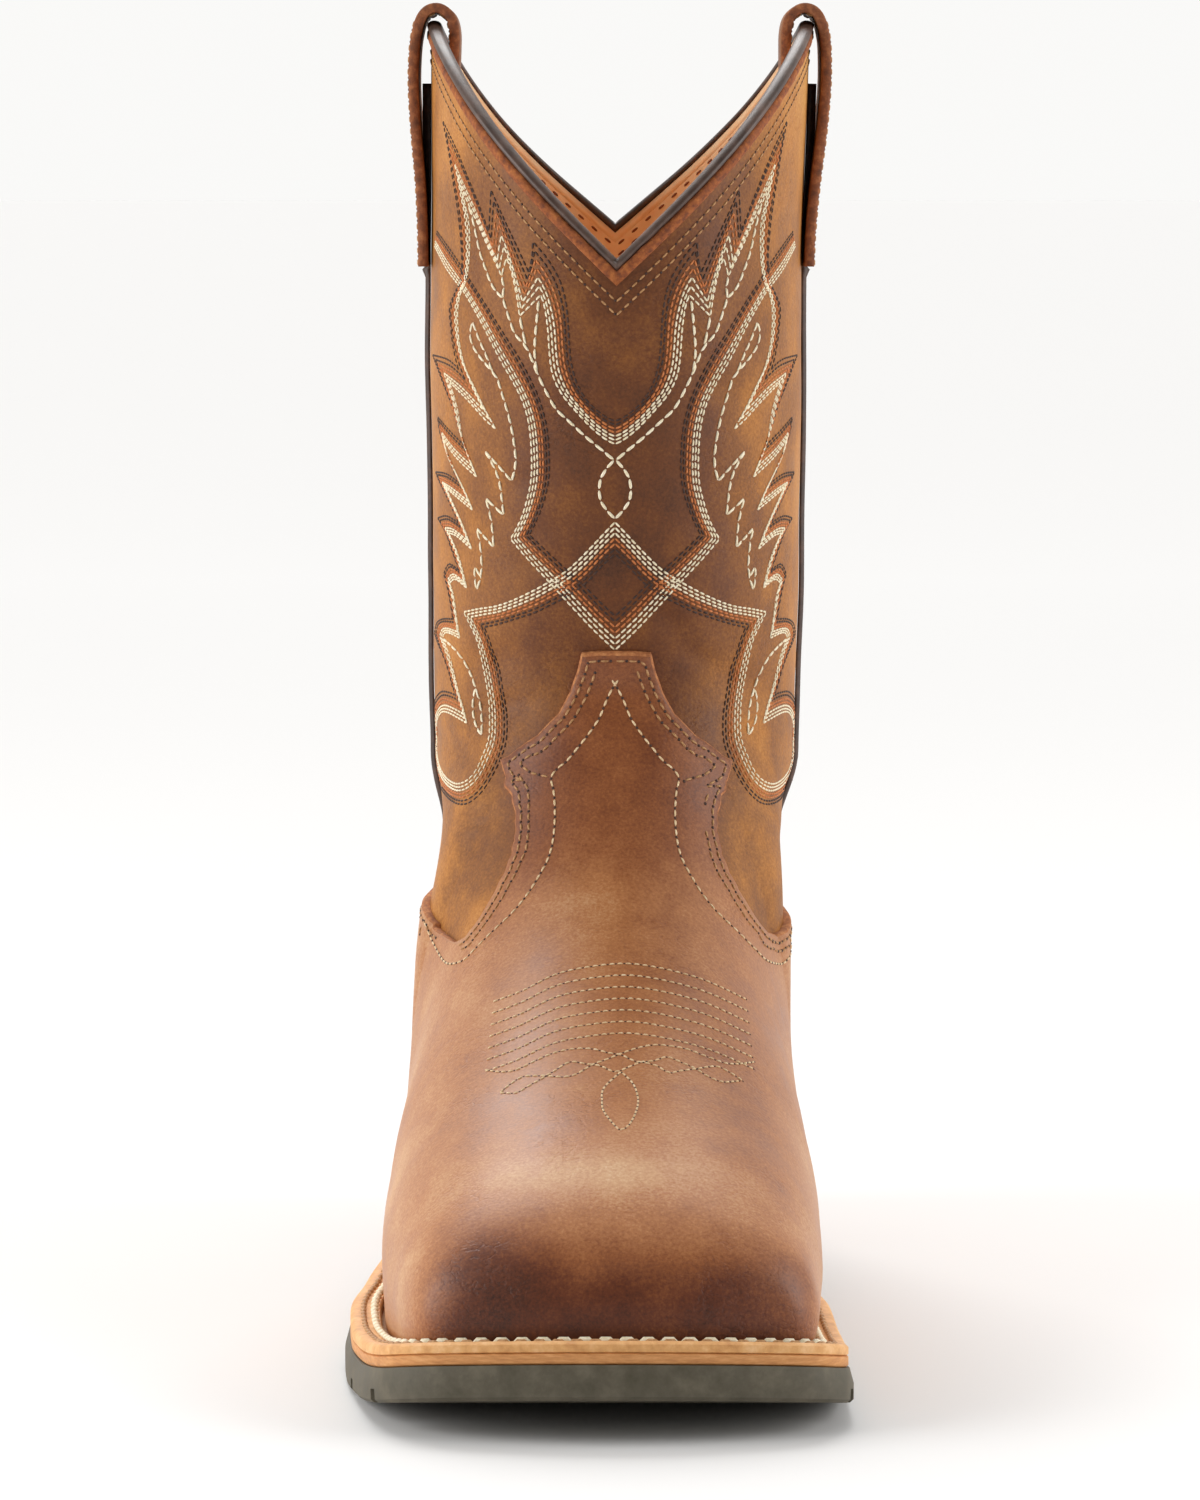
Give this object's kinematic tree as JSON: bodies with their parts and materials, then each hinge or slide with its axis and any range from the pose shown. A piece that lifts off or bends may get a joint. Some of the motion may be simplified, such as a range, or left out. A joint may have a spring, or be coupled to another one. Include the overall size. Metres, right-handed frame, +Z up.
{
  "type": "western boot",
  "caption": "Right pull-on western work boot with a broad square toe, deep V collar, pull straps, welted sole and block heel.",
  "frame": {"origin": "on the floor, under the middle of the boot's bounding box", "axes": "+Z up, toe towards -Y, big-toe side towards +X"},
  "size_m": [0.1142, 0.3106, 0.3098],
  "materials": {
    "upper": "oiled, distressed",
    "vamp": "oiled, burnished toe",
    "counter": "oiled, distressed",
    "collar_binding": "smooth, slight gloss",
    "piping_lateral": "smooth",
    "piping_medial": "smooth",
    "strap_lateral": "raw-edged strap leather",
    "strap_medial": "raw-edged strap leather",
    "insole": "plain",
    "welt": "natural",
    "midsole": "natural",
    "outsole": "matt",
    "heel_stack": "stacked, natural",
    "heel_lift": "matt"
  },
  "bodies": {
    "root": {"upper": "upper", "vamp": "vamp", "counter": "counter", "collar_binding": "collar_binding", "piping_lateral": "piping_lateral", "piping_medial": "piping_medial", "strap_lateral": "strap_lateral", "strap_medial": "strap_medial", "insole": "insole", "welt": "welt", "midsole": "midsole", "outsole": "outsole", "heel_stack": "heel_stack", "heel_lift": "heel_lift"}
  },
  "joints": []
}
